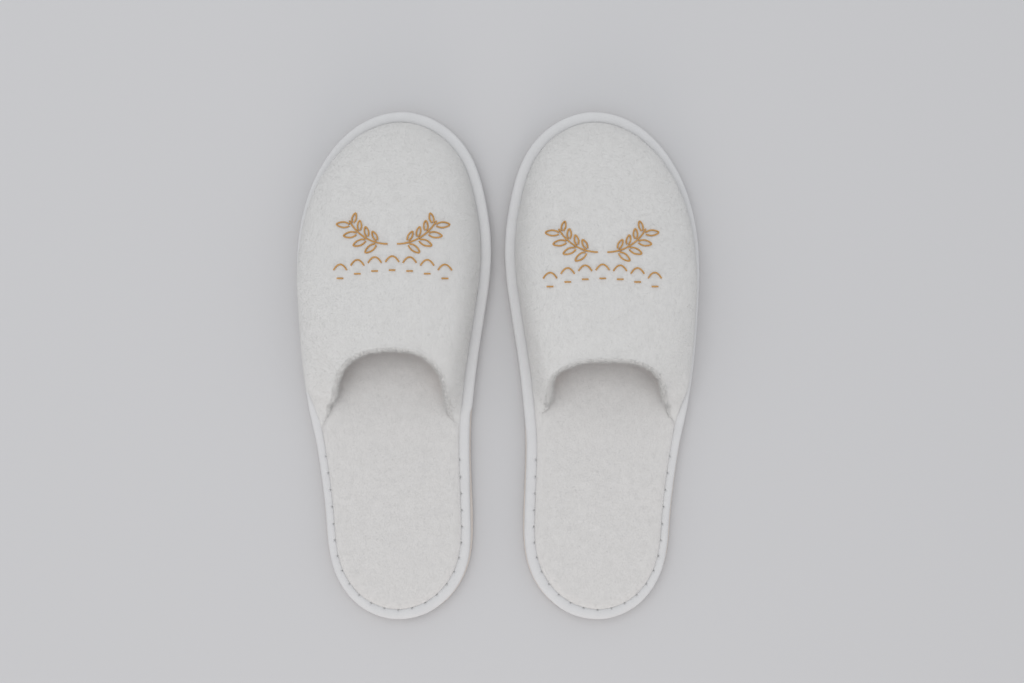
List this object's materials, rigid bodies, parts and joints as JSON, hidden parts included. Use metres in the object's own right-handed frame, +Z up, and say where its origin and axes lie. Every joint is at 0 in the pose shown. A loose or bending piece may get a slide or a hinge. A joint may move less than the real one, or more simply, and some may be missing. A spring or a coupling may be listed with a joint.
{
  "type": "pair of spa slippers",
  "caption": "Closed-toe spa slippers with soft pile uppers, a bound padded insole, a thin foam outsole and a gold embroidered sprig motif.",
  "frame": {"origin": "on the floor at the middle of the pair's footprint", "axes": "+Z up, +Y from the heels towards the toes, +X from the left slipper towards the right one"},
  "size_m": [0.2292, 0.29, 0.0427],
  "materials": {
    "eva_outsole": "matte fine-grained foam rubber",
    "pressed_board": "raw pressed fibre board",
    "foam": "open-cell foam",
    "terry_cover": "short pile towelling",
    "binding_tape": "smooth woven tape",
    "white_thread": "twisted sewing thread",
    "terry_face": "short pile velour towelling",
    "lining_cloth": "plain knitted cloth",
    "gold_thread": "satin-stitched rayon thread"
  },
  "bodies": {
    "left_slipper": {"left_outsole_front": "eva_outsole", "left_insole_board_front": "pressed_board", "left_insole_foam_front": "foam", "left_insole_cover_front": "terry_cover", "left_binding_front": "binding_tape", "left_binding_stitches_front": "white_thread", "left_upper_face": "terry_face", "left_upper_padding": "foam", "left_upper_lining": "lining_cloth", "left_upper_embroidery": "gold_thread"},
    "left_heel": {"left_outsole_heel": "eva_outsole", "left_insole_board_heel": "pressed_board", "left_insole_foam_heel": "foam", "left_insole_cover_heel": "terry_cover", "left_binding_heel": "binding_tape", "left_binding_stitches_heel": "white_thread"},
    "right_slipper": {"right_outsole_front": "eva_outsole", "right_insole_board_front": "pressed_board", "right_insole_foam_front": "foam", "right_insole_cover_front": "terry_cover", "right_binding_front": "binding_tape", "right_binding_stitches_front": "white_thread", "right_upper_face": "terry_face", "right_upper_padding": "foam", "right_upper_lining": "lining_cloth", "right_upper_embroidery": "gold_thread"},
    "right_heel": {"right_outsole_heel": "eva_outsole", "right_insole_board_heel": "pressed_board", "right_insole_foam_heel": "foam", "right_insole_cover_heel": "terry_cover", "right_binding_heel": "binding_tape", "right_binding_stitches_heel": "white_thread"}
  },
  "joints": [
    {"name": "left_sole_flex", "type": "hinge", "parent": "left_slipper", "child": "left_heel", "pos_m": [-0.0559, -0.072, 0.01105], "axis": [-1, 0, 0], "range_deg": [0, 50]},
    {"name": "right_sole_flex", "type": "hinge", "parent": "right_slipper", "child": "right_heel", "pos_m": [0.0559, -0.072, 0.01105], "axis": [-1, 0, 0], "range_deg": [0, 50]},
    {"name": "pair_slide", "type": "slide", "parent": "left_slipper", "child": "right_slipper", "axis": [1, 0, 0], "range_m": [0, 0.15]}
  ]
}
